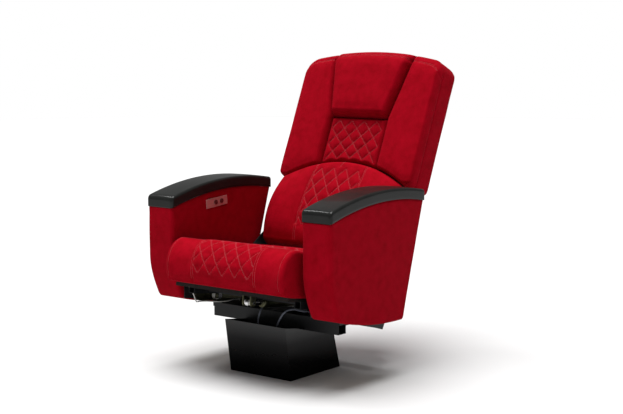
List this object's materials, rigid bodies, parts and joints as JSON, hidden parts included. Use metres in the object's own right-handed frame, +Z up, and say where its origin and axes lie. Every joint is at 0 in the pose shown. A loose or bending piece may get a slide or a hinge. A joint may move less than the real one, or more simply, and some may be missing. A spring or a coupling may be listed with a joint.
{
  "type": "cinema recliner seat",
  "caption": "Pedestal cinema incliner seat in deep red fabric with black arm caps, quilted seat and back inserts, a gliding seat and a reclining back.",
  "frame": {"origin": "centre of the pedestal's foot, on the floor", "axes": "+X towards the occupant's left, -Y forward, +Z up"},
  "size_m": [0.774, 0.9139, 1.0485],
  "materials": {
    "fabric": "matte",
    "cap": "satin",
    "cover": "gloss",
    "frame": "satin",
    "zinc": "satin",
    "pin": "polished",
    "plywood": "matte",
    "board": "matte",
    "nylon": "satin",
    "housing": "matte",
    "cord": "matte",
    "grommet": "matte",
    "bezel": "satin",
    "button": "gloss"
  },
  "bodies": {
    "base": {"floor_plate": "frame", "column": "frame", "shroud": "cover", "head_plate": "frame", "cable_grommet": "grommet", "front_rail": "frame", "rear_rail": "frame", "beams": "frame", "side_plate_left": "frame", "side_plate_right": "frame", "tracks": "zinc", "arm_core_left": "plywood", "arm_core_right": "plywood", "arm_pad_left": "fabric", "arm_pad_right": "fabric", "arm_cap_left": "cap", "arm_cap_right": "cap", "cap_screws": "zinc", "arm_bolts": "zinc", "pivot_pins": "pin", "pivot_washers": "nylon", "actuator_tube": "zinc", "actuator_gearbox": "housing", "actuator_motor": "frame", "rear_clevis": "frame", "rear_clevis_pin": "pin", "control_box": "housing", "power_supply": "housing", "mains_cable": "cord", "link_cable": "cord", "switch_cable": "cord", "switch_plate": "bezel", "switch_housing": "housing"},
    "recline_button": {"button_recline": "button"},
    "upright_button": {"button_upright": "button"},
    "seat": {"seat_cushion": "fabric", "seat_board": "board", "seat_side_tubes": "frame", "seat_cross_members": "frame", "runner_plates": "zinc", "roller_axles": "pin", "drag_arms": "zinc", "actuator_rod": "pin", "front_clevis": "zinc", "front_clevis_pin": "pin", "clevis_bushes": "nylon"},
    "front_roller_pair": {"front_rollers": "nylon"},
    "rear_roller_pair": {"rear_rollers": "nylon"},
    "back": {"back_board": "board", "back_uprights": "frame", "back_cross_tubes": "frame", "rear_cover": "fabric", "wing_left": "fabric", "wing_right": "fabric", "head_bolster": "fabric", "quilt_panel": "fabric", "lumbar_cushion": "fabric", "recliner_arms": "frame", "push_bar": "pin", "push_bushes": "nylon"}
  },
  "joints": [
    {"name": "seat_glide", "type": "slide", "parent": "base", "child": "seat", "axis": [0, -0.9903, 0.1392], "range_m": [0, 0.0764]},
    {"name": "back_recline", "type": "hinge", "parent": "base", "child": "back", "pos_m": [0, 0.285, 0.44], "axis": [-1, 0, 0], "range_deg": [0, 20]},
    {"name": "front_roller_spin", "type": "hinge", "parent": "seat", "child": "front_roller_pair", "pos_m": [0, -0.066, 0.22991], "axis": [1, 0, 0], "range_deg": [0, 315]},
    {"name": "rear_roller_spin", "type": "hinge", "parent": "seat", "child": "rear_roller_pair", "pos_m": [0, 0.09839, 0.20681], "axis": [1, 0, 0], "range_deg": [0, 315]},
    {"name": "recline_press", "type": "slide", "parent": "base", "child": "recline_button", "axis": [-1, 0, 0], "range_m": [0, 0.0015], "stiffness_N_per_m": 1500},
    {"name": "upright_press", "type": "slide", "parent": "base", "child": "upright_button", "axis": [-1, 0, 0], "range_m": [0, 0.0015], "stiffness_N_per_m": 1500}
  ],
  "couplings": [
    {"joint": "back_recline", "follows": "seat_glide", "rad_per_m": 4.5686},
    {"joint": "front_roller_spin", "follows": "seat_glide", "rad_per_m": 71.43},
    {"joint": "rear_roller_spin", "follows": "seat_glide", "rad_per_m": 71.43}
  ]
}
